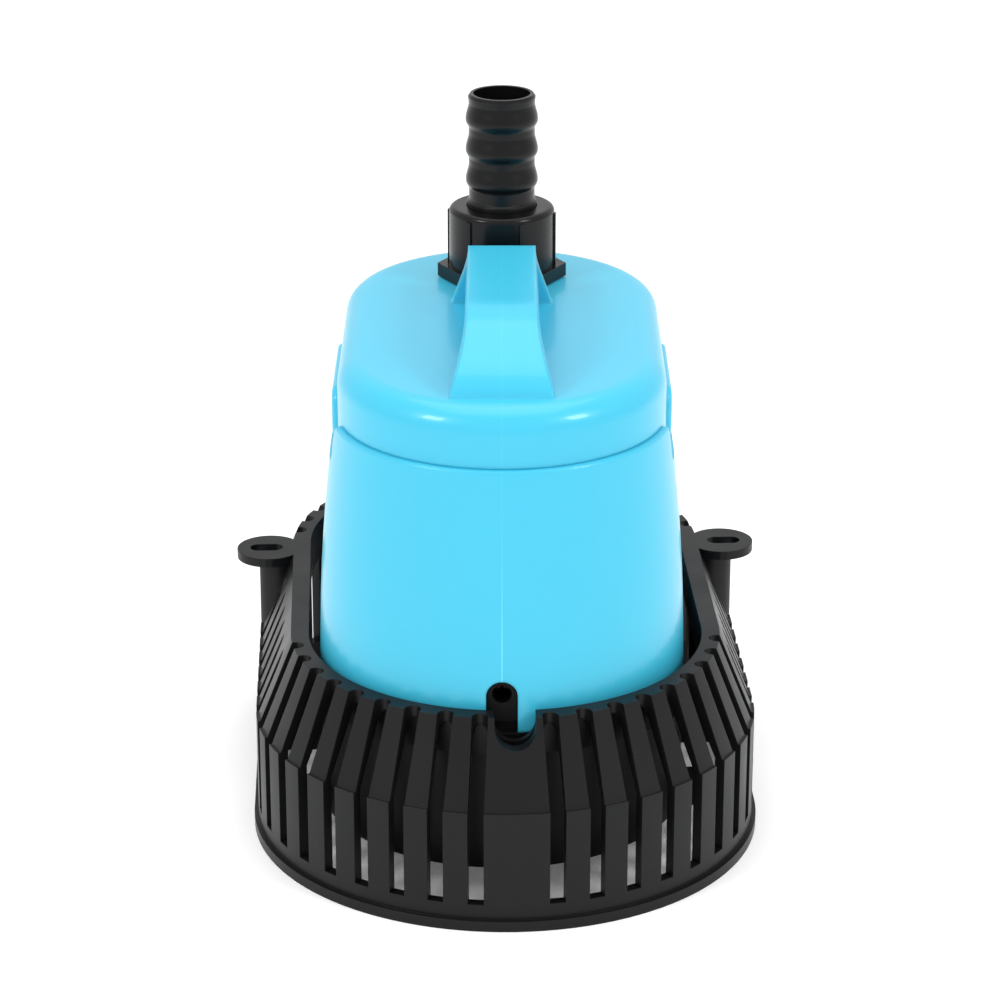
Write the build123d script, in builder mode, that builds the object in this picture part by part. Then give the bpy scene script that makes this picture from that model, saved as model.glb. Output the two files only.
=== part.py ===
"""Bottom-suction pond pump: blue motor housing standing loose in a black slotted strainer base.

Millimetres, +Z up. The origin is at the middle of the strainer's underside; the front of the pump faces -Y.
Each piece is drawn in its own upright place. Pump pieces are then set into the base by PUMP_SEAT.
"""
import os
from math import cos, pi, radians, sin

from build123d import *

# ---- plan: every outline is a long round-ended shape with the same centre distance
SPAN = 68.0  # between the end-arc centres of the base
PUMP_SPAN = 70.0  # the same for the foot of the blue pump
LEAN = 10.0  # how much shorter the pump is at the lid: its back leans forward
BASE_R = 71.0  # flange of the strainer
SKIRT_R = 69.8
CREASE_R = 69.0
COLLAR_R = 59.6
OPENING_R = 54.6
BASE_WALL = 3.0
PUMP_SEAT = Location((0.45, -2, 0), (0, 0, -2.5))  # the pump stands a little forward and askew in its base

# ---- heights
FLANGE_H = 3.0
CREASE_Z = 34.0
COLLAR_Z = 57.0
LIP_Z = 45.0
SHELL_Z = 50.0
SEAM_Z = 122.0
LID_Z = 138.0
BARB_Z = 192.3

# ---- strainer slots and lugs
SLOT_W = 4.3
SLOT_PITCH = 9.0  # degrees on the end arcs
SLOT_FLOOR = 7.3
SIDE_PITCH = 10.4  # mm along the straight sides
SIDE_MIDDLE = -8.0
LUG_X = 67.6
LUG_Y = 29.5
LUG_R = 9.4
LUG_T = 2.6
LUG_SLOT_W = 5.0
LUG_SLOT_L = 9.6

# ---- shell and lid
SHELL_R = {SHELL_Z: 50.5, 62.0: 50.2, 84.0: 49.2, 106.0: 47.3, SEAM_Z: 45.9}
SHELL_WALL = 2.6
LID_R = 44.4
LID_WALL = 2.4
GRIP_R = 46.3  # outer face of the raised grips on the sides of the lid
HANDLE_TOP = 154.3
HANDLE_T = 5.0
STRAP_FRONT = -69.3
STRAP_BACK = 16.6
STRAP_TOP_W = 9.5
STRAP_FOOT_W = 13.9
BAY_Z = 111.0  # foot of the bays in the shell sides where the lid comes down
NOTCH_W = 8.4
NOTCH_TOP = 64.5

# ---- outlet
OUTLET_Y = 36.6
SPIGOT_R = 13.2  # G 3/4 thread, drawn plain
SPIGOT_TOP = 149.3
BORE_R = 8.1
NUT_R = 15.1
NUT_FLATS = 32.0
NUT_TOP = 159.5
BARB_CREST_R = 10.3
BARB_ROOT_R = 9.4

# ---- motor and volute
MOTOR_Y = -18.0
SHAFT_R = 2.0
RUN_FIT = 0.05
MAGNET_R = 12.0
CAN_R = 15.0
IMPELLER_R = 27.0
CHAMBER_R = 30.0
PLATE_R = 47.0
SCREW_X = 42.4
SCREW_Y = 34.0
FLOOR_Z = 24.0  # underside of the volute chamber
CASING_Z = 10.0  # lower edge of the black casing under the shell


def base_outline(radius, z, span=SPAN, y=0.0):
    """Sketch of the round-ended outline at a height."""
    with BuildSketch(Plane.XY.offset(z)) as outline:
        with Locations((0, y)):
            SlotCenterToCenter(span, 2 * radius, rotation=90)
    return outline.sketch


def stadium(radius, z):
    """The pump's outline: shorter with height at the back, its front end stays."""
    cut = LEAN * min(1, max(0, (z - SHELL_Z) / (SEAM_Z - SHELL_Z)))
    return base_outline(radius, z, PUMP_SPAN - cut, -cut / 2)


def side_bay(gap):
    """Block across the pump that cuts both sides of the rim, smaller by the gap all round."""
    with BuildSketch(Plane.YZ) as bay:
        with BuildLine():
            Polyline((-49 + gap, 132), (-46.6 + gap, 122.6), (-43.5 + gap, 117), (-43.5 + gap, BAY_Z + gap),
                     (17 - gap, BAY_Z + gap), (17 - gap, 117), (20.1 - gap, 122.6), (22.5 - gap, 132), close=True)
        make_face()
        fillet(bay.vertices(), 2)
    return extrude(bay.sketch, amount=60, both=True)


def ring(outer, inner, z, height, y=0.0):
    """Plain tube standing on z, its axis at (0, y)."""
    with BuildPart() as tube:
        with BuildSketch(Plane.XY.offset(z)):
            with Locations((0, y)):
                Circle(outer)
                if inner:
                    Circle(inner, mode=Mode.SUBTRACT)
        extrude(amount=height)
    return tube.part


# ================================================================ strainer base
with BuildPart() as strainer_base:
    extrude(base_outline(BASE_R, 0), amount=FLANGE_H)
    extrude(base_outline(SKIRT_R, 0), amount=CREASE_Z)
    loft([base_outline(CREASE_R, CREASE_Z), base_outline(COLLAR_R, COLLAR_Z)])
    extrude(base_outline(SKIRT_R - BASE_WALL, 0), amount=CREASE_Z, mode=Mode.SUBTRACT)
    loft(
        [base_outline(SKIRT_R - BASE_WALL, CREASE_Z), base_outline(COLLAR_R - BASE_WALL, COLLAR_Z - BASE_WALL)],
        mode=Mode.SUBTRACT,
    )
    # lip that hangs inside the collar
    extrude(base_outline(OPENING_R + 1.6, LIP_Z), amount=COLLAR_Z - 1 - LIP_Z)
    extrude(base_outline(OPENING_R, LIP_Z), amount=COLLAR_Z, mode=Mode.SUBTRACT)
    # screw posts under the lugs, and the lugs flush with the collar
    with BuildSketch(Plane.XY):
        with Locations((-LUG_X + 3.6, LUG_Y), (LUG_X - 3.6, LUG_Y)):
            Circle(6.2)
    extrude(amount=COLLAR_Z - LUG_T)
    with BuildSketch(Plane.XY.offset(COLLAR_Z - LUG_T)):
        with Locations((-LUG_X + 0.8, LUG_Y), (LUG_X - 0.8, LUG_Y)):
            Circle(LUG_R)
    extrude(amount=LUG_T)
    # slots round both ends and along both sides
    with BuildSketch(Plane.XY.offset(SLOT_FLOOR)):
        for y, start in ((-SPAN / 2, -90), (SPAN / 2, 90)):
            for side in (-1, 1):
                for step in range(1, 10):
                    a = radians(start + side * step * SLOT_PITCH)
                    with Locations((66.2 * cos(a), y + 66.2 * sin(a))):
                        SlotCenterToCenter(14.8, SLOT_W, rotation=a * 180 / pi)
        with Locations((0, SIDE_MIDDLE)):
            with GridLocations(2 * 68, SIDE_PITCH, 2, 6):
                SlotCenterToCenter(8.4, SLOT_W)
    extrude(amount=COLLAR_Z, mode=Mode.SUBTRACT)
    # cable scoop in the wide front panel
    with BuildSketch(Plane.XZ.offset(SPAN / 2 + 50)):
        with Locations((0, 49.0 + 5.5)):
            Circle(5.5)
        with Locations((0, 60)):
            Rectangle(11, 11)
    extrude(amount=30, mode=Mode.SUBTRACT)
    # brackets that carry the pump
    with BuildSketch(Plane.XY):
        with Locations((0, SIDE_MIDDLE)):
            with GridLocations(2 * 57.5, 4 * SIDE_PITCH, 2, 2):
                Rectangle(20, 5)
    extrude(amount=CASING_Z - 0.3)
    # screw ways through the lugs and down the posts
    with BuildSketch(Plane.XY.offset(20)):
        with Locations((-LUG_X, LUG_Y), (LUG_X, LUG_Y)):
            SlotOverall(LUG_SLOT_L, LUG_SLOT_W)
    extrude(amount=COLLAR_Z, mode=Mode.SUBTRACT)

# ================================================================ blue shell
shell_bay = side_bay(0)
with BuildPart() as motor_housing:
    loft([stadium(r, z) for z, r in SHELL_R.items()])
    fillet(motor_housing.edges().group_by(Axis.Z)[-1], 0.9)
    loft([stadium(r - SHELL_WALL, z) for z, r in SHELL_R.items()], mode=Mode.SUBTRACT)
    with BuildSketch(Plane.XZ.offset(PUMP_SPAN / 2 + 40)):
        with Locations((0, NOTCH_TOP - NOTCH_W / 2)):
            Circle(NOTCH_W / 2)
        with Locations((0, (NOTCH_TOP - NOTCH_W / 2 + SHELL_Z - 2) / 2)):
            Rectangle(NOTCH_W, NOTCH_TOP - NOTCH_W / 2 - SHELL_Z + 2)
    extrude(amount=30, mode=Mode.SUBTRACT)
    # bays in the rim on both sides, for the skirts of the lid
    add(shell_bay, mode=Mode.SUBTRACT)
    # screw bosses for the volute, inside at the four corners
    with BuildSketch(Plane.XY.offset(SHELL_Z + 4.6)):
        with GridLocations(2 * SCREW_X, 2 * SCREW_Y, 2, 2):
            Circle(4.8)
            Circle(1.5, mode=Mode.SUBTRACT)
    extrude(amount=30)

# ================================================================ lid with its strap handle
skirt = extrude(stadium(LID_R, BAY_Z), amount=SEAM_Z + 1 - BAY_Z)
skirt -= extrude(stadium(LID_R - LID_WALL, BAY_Z), amount=SEAM_Z + 1 - BAY_Z)
lid_skirts = skirt & side_bay(0.3)
grip = extrude(stadium(GRIP_R, BAY_Z), amount=20) - extrude(stadium(LID_R - 1, BAY_Z), amount=20)
with BuildSketch(Plane.YZ) as grip_face:
    with Locations((-9, SEAM_Z - 2.5)):
        RectangleRounded(44, 15, 5)
lid_grips = grip & extrude(grip_face.sketch, amount=60, both=True)
lid_grips = fillet(lid_grips.edges().filter_by(lambda e: abs(e.center().X) > GRIP_R - 0.1), 1.5)
with BuildPart() as top_cover:
    extrude(stadium(LID_R, SEAM_Z), amount=LID_Z - SEAM_Z)
    fillet(top_cover.edges().group_by(Axis.Z)[-1], 7)
    extrude(stadium(LID_R - LID_WALL, SEAM_Z), amount=LID_Z - SEAM_Z - LID_WALL - 2, mode=Mode.SUBTRACT)
    # locating rim that drops into the shell
    extrude(stadium(42.6, SEAM_Z - 3), amount=4)
    extrude(stadium(40.6, SEAM_Z - 3), amount=4, mode=Mode.SUBTRACT)
    # side skirts with a raised grip, down in the bays of the shell
    add(lid_skirts)
    add(lid_grips)
    # strap: side profile, cut to its flared width
    with BuildSketch(Plane.YZ):
        with BuildLine():
            foot = Line((STRAP_FRONT, LID_Z - 3), (STRAP_FRONT, LID_Z))
            front = Spline(foot @ 1, (STRAP_FRONT + 11, LID_Z + 9.8), (STRAP_FRONT + 33, HANDLE_TOP),
                           tangents=[(0.4, 1), (1, 0)])
            top = Line(front @ 1, (STRAP_BACK - 3.5, HANDLE_TOP))
            bend = RadiusArc(top @ 1, (STRAP_BACK, HANDLE_TOP - 3.5), 3.5)
            Polyline(bend @ 1, (STRAP_BACK, LID_Z - 3), (STRAP_BACK - HANDLE_T, LID_Z - 3),
                     (STRAP_BACK - HANDLE_T, HANDLE_TOP - HANDLE_T), (STRAP_FRONT + 34, HANDLE_TOP - HANDLE_T))
            under = Spline((STRAP_FRONT + 34, HANDLE_TOP - HANDLE_T), (STRAP_FRONT + 16, LID_Z + 6.8),
                           (STRAP_FRONT + 5.5, LID_Z - 1), tangents=[(-1, 0), (-0.4, -1)])
            Polyline(under @ 1, (STRAP_FRONT + 5.5, LID_Z - 3), foot @ 0)
        make_face()
    profile = extrude(amount=16, both=True, mode=Mode.PRIVATE)
    with BuildSketch(Plane.XZ):
        with BuildLine():
            flare = Spline((STRAP_TOP_W, HANDLE_TOP + 1), (STRAP_TOP_W, HANDLE_TOP - 1.5),
                           (STRAP_FOOT_W, LID_Z), tangents=[(0, -1), (0.3, -1)])
            Polyline(flare @ 1, (STRAP_FOOT_W + 0.6, LID_Z - 4), (0, LID_Z - 4))
            Line((0, HANDLE_TOP + 1), flare @ 0)
            mirror(about=Plane.YZ)
        make_face()
    flared = extrude(amount=90, both=True, mode=Mode.PRIVATE)
    add(profile & flared)
    with BuildSketch(Plane.XY.offset(SEAM_Z)):
        with Locations((0, OUTLET_Y)):
            Circle(SPIGOT_R + 0.1)
    extrude(amount=20, mode=Mode.SUBTRACT)

with BuildPart() as lid_seal:
    extrude(stadium(40.5, SEAM_Z - 2.4), amount=1.8)
    extrude(stadium(38.7, SEAM_Z - 2.4), amount=1.8, mode=Mode.SUBTRACT)

# ================================================================ outlet
riser_pipe_body = ring(SPIGOT_R, BORE_R, 112, SPIGOT_TOP - 112, OUTLET_Y)
with BuildPart() as riser_pipe:
    add(riser_pipe_body)
    add(ring(10.6, BORE_R, SHELL_Z + 2.4, 112 - SHELL_Z - 2.4, OUTLET_Y))

with BuildPart() as outlet_gasket:
    add(ring(12.2, 9.0, SPIGOT_TOP + 0.3, 1.7, OUTLET_Y))

with BuildPart() as union_nut:
    with BuildSketch(Plane.XY.offset(LID_Z + 0.4)):
        with Locations((0, OUTLET_Y)):
            RegularPolygon(NUT_FLATS / 2, 6, major_radius=False)
    extrude(amount=3.8)
    add(ring(NUT_R, 0, LID_Z + 4.2, NUT_TOP - LID_Z - 4.2, OUTLET_Y))
    fillet(union_nut.edges().group_by(Axis.Z)[-1], 1.6)
    with BuildSketch(Plane.XY.offset(LID_Z + 4.2)):
        with Locations((0, OUTLET_Y)):
            with PolarLocations(NUT_R, 6, start_angle=-68):
                Rectangle(1.0, 1.6)
    extrude(amount=15.5)
    add(ring(SPIGOT_R + 0.3, 0, LID_Z, 19, OUTLET_Y), mode=Mode.SUBTRACT)
    add(ring(BARB_ROOT_R + 0.7, 0, LID_Z, 30, OUTLET_Y), mode=Mode.SUBTRACT)

with BuildPart() as hose_barb:
    with BuildSketch(Plane.XZ):
        with BuildLine():
            collar = Polyline((BORE_R, 151.3), (12.6, 151.3), (12.6, 156.7), (9.9, 156.7), (9.9, 161.0),
                              (BARB_ROOT_R, 161.5))
            low = collar @ 1
            for z in (167.2, 176.05, 184.9):
                root = Line(low, (BARB_ROOT_R, z - 2.4))
                rise = Spline(root @ 1, (BARB_CREST_R, z), tangents=[(0.15, 1), (0, 1)])
                fall = Spline(rise @ 1, (BARB_ROOT_R, z + 4.6), tangents=[(0, 1), (-0.1, 1)])
                low = fall @ 1
            Polyline(low, (BARB_ROOT_R + 0.2, BARB_Z - 0.8), (BARB_ROOT_R - 0.4, BARB_Z), (BORE_R, BARB_Z),
                     (BORE_R, 151.3))
        make_face()
    revolve(axis=Axis.Z)
hose_barb_part = Pos(0, OUTLET_Y, 0) * hose_barb.part

# ================================================================ volute
PLATE_Z = SHELL_Z - 3.2  # underside of the plate that closes the shell
with BuildPart() as volute_body:
    extrude(stadium(50.3, CASING_Z), amount=SHELL_Z - 0.2 - CASING_Z)
    extrude(stadium(47.6, CASING_Z), amount=PLATE_Z - CASING_Z, mode=Mode.SUBTRACT)
    extrude(stadium(PLATE_R, SHELL_Z - 0.2), amount=2.4)
    # chamber, and the duct that runs back to the outlet
    with BuildSketch(Plane.XY.offset(FLOOR_Z)):
        with Locations((0, MOTOR_Y)):
            Circle(CHAMBER_R + 3)
        with Locations((8, OUTLET_Y / 2)):
            Rectangle(28, OUTLET_Y)
        with Locations((0, OUTLET_Y)):
            Circle(14.6)
    extrude(amount=PLATE_Z - FLOOR_Z)
    with BuildSketch(Plane.XY.offset(FLOOR_Z)):
        with Locations((0, MOTOR_Y)):
            Circle(CHAMBER_R)
    extrude(amount=PLATE_Z - FLOOR_Z, mode=Mode.SUBTRACT)
    with BuildSketch(Plane.XY.offset(FLOOR_Z + 3)):
        with Locations((8, OUTLET_Y / 2)):
            Rectangle(22, OUTLET_Y - 8)
        with Locations((0, OUTLET_Y)):
            Circle(11.4)
    extrude(amount=PLATE_Z - FLOOR_Z - 3, mode=Mode.SUBTRACT)
    add(ring(BORE_R, 0, PLATE_Z - 4, 20, OUTLET_Y), mode=Mode.SUBTRACT)
    add(ring(CAN_R + 0.1, 0, PLATE_Z - 4, 20, MOTOR_Y), mode=Mode.SUBTRACT)
    # the four screws pass here
    with BuildSketch(Plane.XY.offset(PLATE_Z - 1)):
        with GridLocations(2 * SCREW_X, 2 * SCREW_Y, 2, 2):
            Circle(1.7)
    extrude(amount=12, mode=Mode.SUBTRACT)

with BuildPart() as volute_cover:
    with BuildSketch(Plane.XY.offset(FLOOR_Z - 3.6)):
        with Locations((0, MOTOR_Y)):
            Circle(CHAMBER_R + 3)
            with PolarLocations(CHAMBER_R + 3, 3):
                Rectangle(8, 10)
            Circle(11, mode=Mode.SUBTRACT)
            Circle(4.2)
            with PolarLocations(7.5, 3):
                Rectangle(8, 2.4)
    extrude(amount=3.2)
    add(ring(CHAMBER_R - 2.4, CHAMBER_R - 4.2, FLOOR_Z - 0.5, 2.2, MOTOR_Y))
    add(ring(2.1, 0, FLOOR_Z - 2.0, 5, MOTOR_Y), mode=Mode.SUBTRACT)

with BuildPart() as volute_o_ring:
    add(ring(CHAMBER_R - 0.6, CHAMBER_R - 2.4, FLOOR_Z - 0.2, 1.6, MOTOR_Y))

# ================================================================ rotor
with BuildPart() as impeller:
    add(ring(IMPELLER_R, SHAFT_R + RUN_FIT, 41.4, 2.2, MOTOR_Y))
    add(ring(5.5, SHAFT_R + RUN_FIT, 29, 18, MOTOR_Y))
    with BuildSketch(Plane.XY.offset(29)):
        with Locations((0, MOTOR_Y)):
            with PolarLocations(15.6, 6):
                Rectangle(21.5, 2)
    extrude(amount=12.6)

with BuildPart() as rotor_sleeve:
    add(ring(8, SHAFT_R + RUN_FIT, 47, 42, MOTOR_Y))

with BuildPart() as magnet_rotor:
    add(ring(MAGNET_R, 8, 52, 35, MOTOR_Y))

with BuildPart() as rotor_shaft:
    add(ring(SHAFT_R, 0, 23.4, 69.9, MOTOR_Y))

with BuildPart() as lower_bush:
    add(ring(3.9, SHAFT_R, 25.0, 1.8, MOTOR_Y))

with BuildPart() as thrust_washers:
    add(ring(4.4, SHAFT_R, 27.0, 1.6, MOTOR_Y))
    add(ring(4.4, SHAFT_R, 89.4, 0.9, MOTOR_Y))

with BuildPart() as upper_bush:
    add(ring(5.0, SHAFT_R, 90.3, 3.6, MOTOR_Y))

with BuildPart() as rotor_can:
    add(ring(CAN_R, CAN_R - 1.5, PLATE_Z, 48.8, MOTOR_Y))
    add(ring(CAN_R, 0, 94.0, 2, MOTOR_Y))
    add(ring(7.0, 5.0, 90.3, 3.8, MOTOR_Y))
    add(ring(CAN_R + 3, CAN_R - 1.5, SHELL_Z + 2.2, 2, MOTOR_Y))

# ================================================================ stator, coils and wiring
CORE_W = 62.0
CORE_Z = 60.0
CORE_H = 28.0
with BuildPart() as stator_core:
    with BuildSketch(Plane.XY.offset(CORE_Z)):
        with Locations((0, MOTOR_Y)):
            Rectangle(CORE_W, 44)
            with Locations((-22, 0), (22, 0)):
                Rectangle(10, 28, mode=Mode.SUBTRACT)
            Circle(CAN_R + 0.4, mode=Mode.SUBTRACT)
    extrude(amount=CORE_H)

with BuildPart() as coil_bobbins:
    for side in (-1, 1):
        with BuildSketch(Plane.XZ.offset(-MOTOR_Y - 9)):
            with Locations((side * 29, CORE_Z + CORE_H / 2)):
                Rectangle(10, CORE_H + 6)
                Rectangle(4.2, CORE_H + 0.2, mode=Mode.SUBTRACT)
        extrude(amount=18)

with BuildPart() as coil_windings:
    for side in (-1, 1):
        with BuildSketch(Plane.XZ.offset(-MOTOR_Y - 7)):
            with Locations((side * 29, CORE_Z + CORE_H / 2)):
                Rectangle(14, CORE_H + 14)
                Rectangle(10, CORE_H + 6, mode=Mode.SUBTRACT)
        extrude(amount=14)

with BuildPart() as thermal_fuse:
    with BuildSketch(Plane.XZ.offset(2)):
        with Locations((-29, CORE_Z + CORE_H + 9)):
            Circle(2)
    extrude(amount=24)

CABLE_Z = NOTCH_TOP - NOTCH_W / 2  # the cable leaves at the round of the notch, above the collar
with BuildPart() as cable_gland:
    with BuildSketch(Plane.XZ.offset(PUMP_SPAN / 2 + 43)):
        with Locations((0, CABLE_Z)):
            Circle(NOTCH_W / 2 - 0.1)
        with Locations((0, (CABLE_Z + SHELL_Z + 2.4) / 2)):
            Rectangle(NOTCH_W - 0.2, CABLE_Z - SHELL_Z - 2.4)
        with Locations((0, CABLE_Z)):
            Circle(2.6, mode=Mode.SUBTRACT)
    extrude(amount=5.5)

with BuildPart() as lead_wires:
    for x in (-1.2, 1.2):
        with BuildSketch(Plane.XZ.offset(PUMP_SPAN / 2 + 8)):
            with Locations((x, CABLE_Z)):
                Circle(1.0)
        extrude(amount=34.7)

with BuildPart() as potting_resin:
    extrude(stadium(41.5, 102), amount=8)
    add(ring(10.7, 0, 95, 25, OUTLET_Y), mode=Mode.SUBTRACT)

with BuildPart() as volute_screws:
    for z, radius, height in ((PLATE_Z - 2, 3, 2), (PLATE_Z, 1.45, 18)):
        with BuildSketch(Plane.XY.offset(z)):
            with GridLocations(2 * SCREW_X, 2 * SCREW_Y, 2, 2):
                Circle(radius)
        extrude(amount=height)

PUMP_PIECES = {
    "motor_housing": motor_housing.part, "top_cover": top_cover.part, "lid_seal": lid_seal.part,
    "riser_pipe": riser_pipe.part, "outlet_gasket": outlet_gasket.part, "union_nut": union_nut.part,
    "hose_barb": hose_barb_part, "volute_body": volute_body.part, "volute_cover": volute_cover.part,
    "volute_o_ring": volute_o_ring.part, "impeller": impeller.part, "rotor_sleeve": rotor_sleeve.part,
    "magnet_rotor": magnet_rotor.part, "rotor_shaft": rotor_shaft.part, "lower_bush": lower_bush.part,
    "upper_bush": upper_bush.part, "thrust_washers": thrust_washers.part, "rotor_can": rotor_can.part,
    "stator_core": stator_core.part, "coil_bobbins": coil_bobbins.part, "coil_windings": coil_windings.part,
    "thermal_fuse": thermal_fuse.part, "cable_gland": cable_gland.part, "lead_wires": lead_wires.part,
    "potting_resin": potting_resin.part, "volute_screws": volute_screws.part,
}

os.makedirs("parts", exist_ok=True)
strainer_base.part.label = "strainer_base"
export_step(strainer_base.part, "parts/strainer_base.step")
for name, piece in PUMP_PIECES.items():
    placed = PUMP_SEAT * piece
    placed.label = name
    export_step(placed, f"parts/{name}.step")
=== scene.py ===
"""Finish for a bottom-suction pond pump: moulded plastics, rubber, wire and a plain studio."""
import math

import bpy
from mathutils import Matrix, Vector


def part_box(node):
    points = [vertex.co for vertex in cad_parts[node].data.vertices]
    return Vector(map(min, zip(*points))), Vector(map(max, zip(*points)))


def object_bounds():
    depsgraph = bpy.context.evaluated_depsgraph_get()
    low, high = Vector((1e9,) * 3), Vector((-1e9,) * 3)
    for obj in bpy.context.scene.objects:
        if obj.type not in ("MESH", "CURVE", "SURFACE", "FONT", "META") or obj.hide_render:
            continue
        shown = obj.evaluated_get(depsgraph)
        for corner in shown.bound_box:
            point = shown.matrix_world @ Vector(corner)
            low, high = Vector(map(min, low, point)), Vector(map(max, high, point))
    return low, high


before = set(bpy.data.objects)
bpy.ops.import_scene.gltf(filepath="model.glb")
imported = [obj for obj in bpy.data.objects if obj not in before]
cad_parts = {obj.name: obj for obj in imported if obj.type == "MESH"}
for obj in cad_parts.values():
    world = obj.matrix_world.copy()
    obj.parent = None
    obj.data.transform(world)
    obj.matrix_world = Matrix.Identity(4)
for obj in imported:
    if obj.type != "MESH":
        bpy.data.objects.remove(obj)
LOW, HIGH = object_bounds()

bl_info = {
    "name": "Pond Pump Finish",
    "version": (1, 0, 0),
    "blender": (4, 5, 0),
    "location": "View3D > Sidebar > Pump",
    "description": "Colours, moulded surfaces and a plain studio for a bottom-suction pond pump",
    "category": "Object",
}

MM = 0.001
PUMP_TURN = math.radians(-2.5)  # how far the pump stands askew in its strainer base
SHELL_LOW, SHELL_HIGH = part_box("motor_housing")
PUMP_MIDDLE = (SHELL_LOW + SHELL_HIGH) / 2

CAMERA_PLACE = (-0.0394, -0.9030, 0.4319)
CAMERA_DIP = math.radians(21.15)  # how far the camera looks down
CAMERA_LENS = 122.4  # millimetres, as is the film's width
FILM_WIDTH = 36
SKY_STRENGTH = 0.86
TABLE_GLOW = 0.1
SHINE = 0.19  # strength of the bare highlight on every grained surface
SHEEN_DRIFT = 22 * MM  # spacing of the slow changes in a grained surface's sheen
WAVE_PERIOD = math.pi / 10  # spacing of the wave texture's bands at scale 1
LAMPS = (  # name, place, side in metres, watts
    ("left box", (-0.75, -0.55, 0.75), 0.24, 3.6),
    ("right box", (0.75, -0.55, 0.75), 0.24, 3.6),
    ("top box", (0, 0.15, 1.2), 1.0, 5),
)


# ---------------------------------------------------------------- sizes and colours to change
def colour(name, hex_code, text):
    """A colour setting whose default is an sRGB hex code."""
    return bpy.props.FloatVectorProperty(
        name=name, description=text, subtype="COLOR", size=4, min=0, max=1, default=linear(hex_code)
    )


def length(name, metres, text):
    """A length setting in metres."""
    return bpy.props.FloatProperty(name=name, description=text, default=metres, unit="LENGTH", precision=5)


def linear(hex_code):
    """sRGB hex code to the linear colour that shaders take."""
    parts = [int(hex_code[i : i + 2], 16) / 255 for i in (1, 3, 5)]
    return tuple(c / 12.92 if c <= 0.04045 else ((c + 0.055) / 1.055) ** 2.4 for c in parts) + (1.0,)


class PumpColours(bpy.types.PropertyGroup):
    shell: colour("Shell blue", "#3EB9D8", "Blue of the housing, lid and handle")
    # painted highlight: this paler blue stands in for the light caught by the raised mould line, which is the
    # same plastic as the shell
    mould_line_highlight: colour("Mould line", "#74DEF8", "Paler blue where the mould halves meet")
    base: colour("Base black", "#141415", "Black of the strainer base")
    fitting: colour("Fitting black", "#0C0C0D", "Black of the nut and hose tail")
    rubber: colour("Rubber", "#070707", "Seals, gland and bushes")
    acetal: colour("Acetal", "#DEDCD2", "White running parts and bobbins")
    ceramic: colour("Ceramic", "#EDEBE4", "Shaft and bush")
    ferrite: colour("Ferrite", "#2C2B2D", "Rotor magnet")
    steel: colour("Core steel", "#8E9093", "Stator plates and screws")
    steel_joint: colour("Core joints", "#3A3B3D", "Dark lines between the stator plates")
    copper: colour("Copper wire", "#B4531F", "Enamelled coil wire")
    copper_joint: colour("Wire joints", "#4A1C0A", "Dark lines between the turns of wire")
    lead: colour("Lead", "#3A1D12", "Insulation of the lead wires")
    resin: colour("Resin", "#101010", "Potting resin")
    floor: colour("Floor", "#FAFAFA", "Studio floor")


class PumpSizes(bpy.types.PropertyGroup):
    soft_edge: length("Shell edges", 1.1 * MM, "Radius of the rounding on the blue pieces")
    fine_edge: length("Fine edges", 0.3 * MM, "Radius of the rounding on the other moulded pieces")
    line_width: length("Mould line width", 0.22 * MM, "Width of the mould line on the blue shell")
    grain: length("Moulded grain", 0.35 * MM, "Spacing of the fine grain on the other moulded pieces")
    ripple: length("Shell ripple", 45 * MM, "Spacing of the slow waves in the glossy shell")
    wire: length("Wire pitch", 0.6 * MM, "Pitch of the coil wire")
    plate: length("Core plate", 0.8 * MM, "Thickness of one stator plate")
    room: length("Floor size", 8.0, "Side of the studio floor")


# ---------------------------------------------------------------- materials
def node(tree, kind, links=None, **settings):
    """Adds one shader node, sets its properties and inputs, and links what feeds it."""
    made = tree.nodes.new(kind)
    for key, value in settings.items():
        if key in made.inputs:
            made.inputs[key].default_value = value
        else:
            setattr(made, key, value)
    for socket, source in (links or {}).items():
        tree.links.new(source, made.inputs[socket])
    return made


def start_material(name):
    """New node material: returns it, its tree, its shader and the object coordinates."""
    material = bpy.data.materials.new(name)
    material.use_nodes = True
    tree = material.node_tree
    shader = tree.nodes["Principled BSDF"]
    where = node(tree, "ShaderNodeTexCoord").outputs["Object"]
    return material, tree, shader, where


def set_inputs(made, **values):
    """Sets a node's inputs; an underscore in a name stands for a space."""
    for key, value in values.items():
        made.inputs[key.replace("_", " ")].default_value = value


def span(tree, source, low, high, start, end, **settings):
    """Turns a value that runs from low to high into one that runs from start to end, and stops there."""
    made = node(tree, "ShaderNodeMapRange", {"Value": source}, **settings)
    set_inputs(made, From_Min=low, From_Max=high, To_Min=start, To_Max=end)
    return made.outputs["Result"]


def mixed(tree, factor, first, second):
    """Colour that goes from the first to the second as the factor goes from 0 to 1."""
    made = node(tree, "ShaderNodeMix", {"Factor": factor}, data_type="RGBA")
    for socket in made.inputs:
        if socket.type == "RGBA":
            socket.default_value = first if socket.name == "A" else second
    return made.outputs[2]


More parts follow.
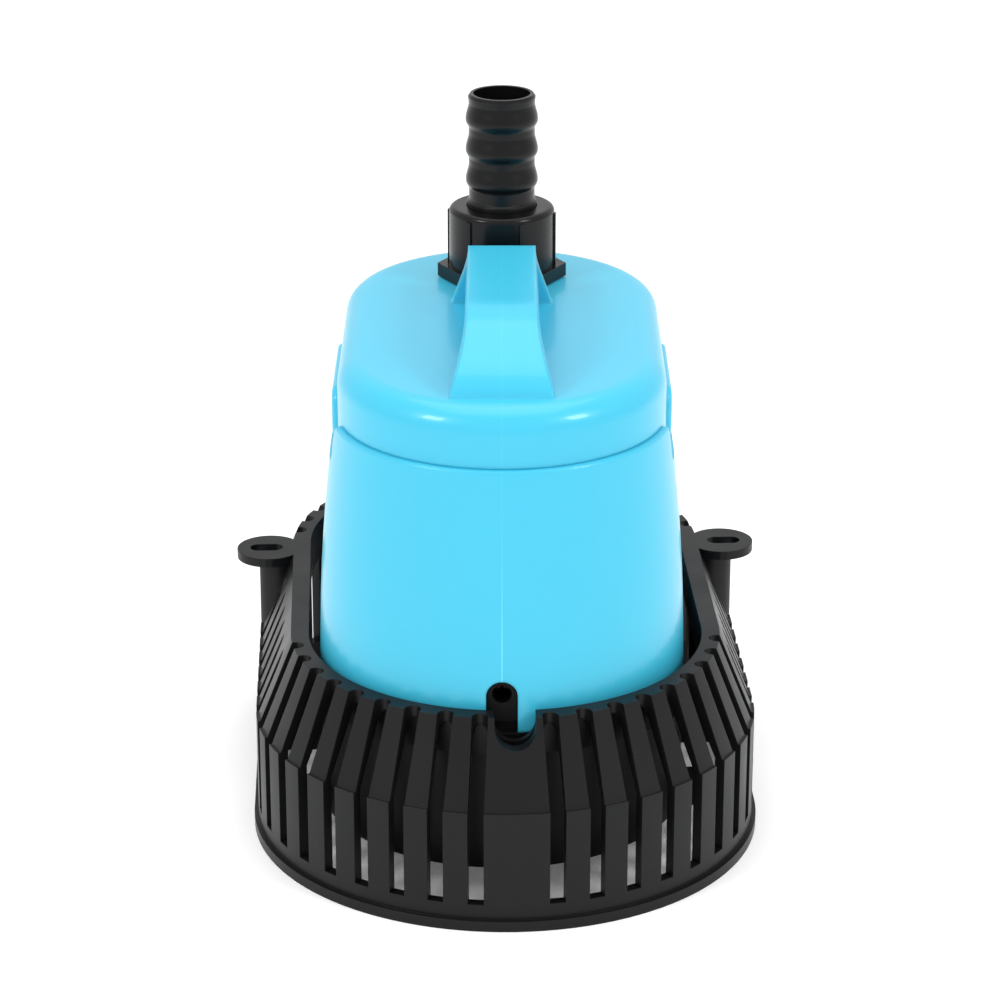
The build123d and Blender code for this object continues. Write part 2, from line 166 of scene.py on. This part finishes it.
def moulded_gloss_abs():
    """Injection-moulded ABS from a polished tool: deep even colour, sharp highlights, slow sink waves; the
    raised mould line is painted paler as its highlight.
    """
    colours, sizes = bpy.context.scene.pump_colours, bpy.context.scene.pump_sizes
    material, tree, shader, where = start_material("ABS, polished mould, blue")
    set_inputs(shader, Roughness=0.3, IOR=1.5, Specular_IOR_Level=0.32, Coat_Weight=0.22, Coat_Roughness=0.06,
               Subsurface_Weight=0.12, Subsurface_Scale=0.004)
    set_inputs(shader, Subsurface_Radius=(0.2, 0.6, 1.0))
    # the line runs along the middle of the pump, which is turned and set forward in the base
    turned = node(tree, "ShaderNodeMapping", {"Vector": where}, vector_type="TEXTURE")
    turned.inputs["Rotation"].default_value = (0, 0, PUMP_TURN)
    turned.inputs["Location"].default_value = (PUMP_MIDDLE.x, PUMP_MIDDLE.y, 0)
    split = node(tree, "ShaderNodeSeparateXYZ", {"Vector": turned.outputs["Vector"]})
    off = node(tree, "ShaderNodeMath", {0: split.outputs["X"]}, operation="ABSOLUTE")
    near = span(tree, off.outputs["Value"], 0, sizes.line_width, 1, 0, interpolation_type="SMOOTHSTEP")
    # the line is proudest at the foot of the shell and dies away upwards, and its painted highlight fades
    # with it
    fade = span(tree, split.outputs["Z"], SHELL_LOW.z + 15 * MM, SHELL_HIGH.z - 10 * MM, 1, 0.12,
                interpolation_type="SMOOTHSTEP")
    line = node(tree, "ShaderNodeMath", {0: near, 1: fade}, operation="MULTIPLY").outputs["Value"]
    # paints the mould line paler blue: a painted highlight on the raised line
    tree.links.new(mixed(tree, line, colours.shell, colours.mould_line_highlight), shader.inputs["Base Color"])
    waves = node(tree, "ShaderNodeTexNoise", {"Vector": where}, Scale=1 / sizes.ripple, Detail=1.0)
    edge = node(tree, "ShaderNodeBevel", samples=6, Radius=sizes.soft_edge)
    slow = node(tree, "ShaderNodeBump", {"Height": waves.outputs["Fac"], "Normal": edge.outputs["Normal"]},
                Strength=0.08, Distance=0.6 * MM)
    raised = node(tree, "ShaderNodeBump", {"Height": line, "Normal": slow.outputs["Normal"]},
                  Strength=0.3, Distance=0.1 * MM)
    tree.links.new(raised.outputs["Normal"], shader.inputs["Normal"])
    return material


def grained_surface(name, tint, rough, grain_depth, coat=0.0):
    """Even colour under a soft wide sheen that drifts a little and is broken by a fine grain."""
    material, tree, shader, where = start_material(name)
    sizes = bpy.context.scene.pump_sizes
    set_inputs(shader, Base_Color=tint, IOR=1.5, Specular_IOR_Level=SHINE, Coat_Weight=coat,
               Coat_Roughness=0.12)
    grain = node(tree, "ShaderNodeTexNoise", {"Vector": where}, Scale=1 / sizes.grain, Detail=3.0)
    flow = node(tree, "ShaderNodeTexNoise", {"Vector": where}, Scale=1 / SHEEN_DRIFT, Detail=2.0)
    sheen = span(tree, flow.outputs["Fac"], 0.3, 0.7, rough - 0.05, rough + 0.05)
    tree.links.new(sheen, shader.inputs["Roughness"])
    edge = node(tree, "ShaderNodeBevel", samples=4, Radius=sizes.fine_edge)
    bump = node(tree, "ShaderNodeBump", {"Height": grain.outputs["Fac"], "Normal": edge.outputs["Normal"]},
                Strength=grain_depth, Distance=0.08 * MM)
    tree.links.new(bump.outputs["Normal"], shader.inputs["Normal"])
    return material


def banded(name, tint, dark, pitch, metallic, rough):
    """Material in fine layers along Z: stacked plates or rows of wire, darker in the joints."""
    material, tree, shader, where = start_material(name)
    set_inputs(shader, Metallic=metallic, Roughness=rough)
    bands = node(tree, "ShaderNodeTexWave", {"Vector": where}, Scale=WAVE_PERIOD / pitch,
                 bands_direction="Z", wave_profile="SIN")
    tree.links.new(mixed(tree, bands.outputs["Fac"], dark, tint), shader.inputs["Base Color"])
    bump = node(tree, "ShaderNodeBump", {"Height": bands.outputs["Fac"]}, Strength=0.6, Distance=0.3 * MM)
    tree.links.new(bump.outputs["Normal"], shader.inputs["Normal"])
    return material


def dress(material, *names):
    """Gives one material to CAD nodes."""
    for name in names:
        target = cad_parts[name].data
        target.materials.clear()
        target.materials.append(material)


# ---------------------------------------------------------------- operators
class PUMP_OT_blue_shell(bpy.types.Operator):
    """Polished blue ABS on the housing, lid and handle"""

    bl_idname = "pump.blue_shell"
    bl_label = "Blue shell"

    def execute(self, context):
        dress(moulded_gloss_abs(), "motor_housing", "top_cover")
        return {"FINISHED"}


class PUMP_OT_black_plastics(bpy.types.Operator):
    """Satin black on the strainer base and volute, glossier black on the outlet pieces"""

    bl_idname = "pump.black_plastics"
    bl_label = "Black plastics"

    def execute(self, context):
        colours = context.scene.pump_colours
        # dull, even sheen along the slats
        satin = grained_surface("Polypropylene, eroded mould, black", colours.base, 0.38, 0.35)
        dress(satin, "strainer_base", "volute_body", "volute_cover", "rotor_can")
        # tighter highlight on the nut's rim and the barbs
        gloss = grained_surface("ABS, polished mould, black", colours.fitting, 0.28, 0.1, coat=0.08)
        dress(gloss, "union_nut", "hose_barb", "riser_pipe")
        return {"FINISHED"}


class PUMP_OT_seals(bpy.types.Operator):
    """Rubber on the seals, gland and upper bush"""

    bl_idname = "pump.seals"
    bl_label = "Seals"

    def execute(self, context):
        # dead black, hardly any highlight
        rubber = grained_surface("Nitrile rubber, moulded", context.scene.pump_colours.rubber, 0.6, 0.5)
        dress(rubber, "lid_seal", "outlet_gasket", "volute_o_ring", "cable_gland", "upper_bush")
        return {"FINISHED"}


class PUMP_OT_running_parts(bpy.types.Operator):
    """Acetal, ceramic and ferrite on the rotor and its bearings"""

    bl_idname = "pump.running_parts"
    bl_label = "Running parts"

    def execute(self, context):
        colours = context.scene.pump_colours
        # waxy off-white
        acetal = grained_surface("Acetal, moulded, white", colours.acetal, 0.35, 0.2)
        dress(acetal, "impeller", "rotor_sleeve", "thrust_washers", "coil_bobbins", "thermal_fuse")
        # hard bright white, polished where it runs
        ceramic = grained_surface("Alumina, ground and polished", colours.ceramic, 0.16, 0.05)
        dress(ceramic, "rotor_shaft", "lower_bush")
        # dark grey with a dry grain
        dress(grained_surface("Ferrite, sintered and ground", colours.ferrite, 0.45, 0.6), "magnet_rotor")
        return {"FINISHED"}


class PUMP_OT_motor_parts(bpy.types.Operator):
    """Stacked steel, copper wire and potting resin inside the shell"""

    bl_idname = "pump.motor_parts"
    bl_label = "Motor parts"

    def execute(self, context):
        colours, sizes = context.scene.pump_colours, context.scene.pump_sizes
        # fine grey layers
        plates = banded("Electrical steel, stamped plates", colours.steel, colours.steel_joint, sizes.plate,
                        metallic=0.9, rough=0.4)
        dress(plates, "stator_core", "volute_screws")
        # rows of warm shiny wire
        wire = banded("Copper wire, enamelled and wound", colours.copper, colours.copper_joint, sizes.wire,
                      metallic=0.8, rough=0.3)
        dress(wire, "coil_windings")
        # matt brown sleeve
        dress(grained_surface("Silicone, extruded over wire", colours.lead, 0.45, 0.1), "lead_wires")
        # smooth black pool
        dress(grained_surface("Epoxy resin, cast, black", colours.resin, 0.2, 0.1), "potting_resin")
        return {"FINISHED"}


class PUMP_OT_studio(bpy.types.Operator):
    """Pale floor, soft lights and the camera"""

    bl_idname = "pump.studio"
    bl_label = "Studio"

    def execute(self, context):
        scene = context.scene
        bpy.ops.object.select_all(action="DESELECT")
        bpy.ops.mesh.primitive_plane_add(size=scene.pump_sizes.room, location=(0, 0, 0))
        floor = context.object
        floor.name = "floor"
        # a seamless white ground that lightens the shadows from underneath
        material, _, shader, _ = start_material("Opal acrylic table, lit from below")
        set_inputs(shader, Base_Color=scene.pump_colours.floor, Roughness=0.7,
                   Emission_Color=scene.pump_colours.floor, Emission_Strength=TABLE_GLOW)
        floor.data.materials.append(material)
        world = bpy.data.worlds.new("Soft room")
        scene.world = world
        world.use_nodes = True
        sky = world.node_tree.nodes["Background"]
        sky.inputs["Color"].default_value = (1, 1, 1, 1)
        sky.inputs["Strength"].default_value = SKY_STRENGTH
        middle = (LOW + HIGH) / 2
        for name, place, side, power in LAMPS:
            bpy.ops.object.light_add(type="AREA", location=place)
            lamp = context.object
            lamp.name = name
            lamp.data.size = side
            lamp.data.energy = power
            lamp.rotation_euler = (middle - Vector(place)).to_track_quat("-Z", "Y").to_euler()
        # turned as far as the pump is, so that it sees the pump's front square on
        bpy.ops.object.camera_add(location=CAMERA_PLACE, rotation=(math.pi / 2 - CAMERA_DIP, 0, PUMP_TURN))
        camera = context.object
        camera.data.sensor_width = FILM_WIDTH
        camera.data.lens = CAMERA_LENS
        scene.camera = camera
        scene.view_settings.view_transform = "Standard"
        return {"FINISHED"}


class PUMP_PT_panel(bpy.types.Panel):
    """Pump tab in the sidebar"""

    bl_idname = "PUMP_PT_panel"
    bl_label = "Pump"
    bl_space_type = "VIEW_3D"
    bl_region_type = "UI"
    bl_category = "Pump"

    def draw(self, context):
        for step in STEPS:
            self.layout.operator(step.bl_idname)
        for group in (context.scene.pump_colours, context.scene.pump_sizes):
            for key in group.bl_rna.properties.keys():
                if key not in ("rna_type", "name"):
                    self.layout.prop(group, key)


STEPS = (
    PUMP_OT_blue_shell, PUMP_OT_black_plastics, PUMP_OT_seals, PUMP_OT_running_parts, PUMP_OT_motor_parts,
    PUMP_OT_studio,
)
CLASSES = (PumpColours, PumpSizes, *STEPS, PUMP_PT_panel)


def register():
    for cls in CLASSES:
        bpy.utils.register_class(cls)
    bpy.types.Scene.pump_colours = bpy.props.PointerProperty(type=PumpColours)
    bpy.types.Scene.pump_sizes = bpy.props.PointerProperty(type=PumpSizes)


def unregister():
    del bpy.types.Scene.pump_colours
    del bpy.types.Scene.pump_sizes
    for cls in reversed(CLASSES):
        bpy.utils.unregister_class(cls)


def main():
    register()
    for step in STEPS:
        group, name = step.bl_idname.split(".")
        getattr(getattr(bpy.ops, group), name)()


if __name__ == "__main__":
    main()
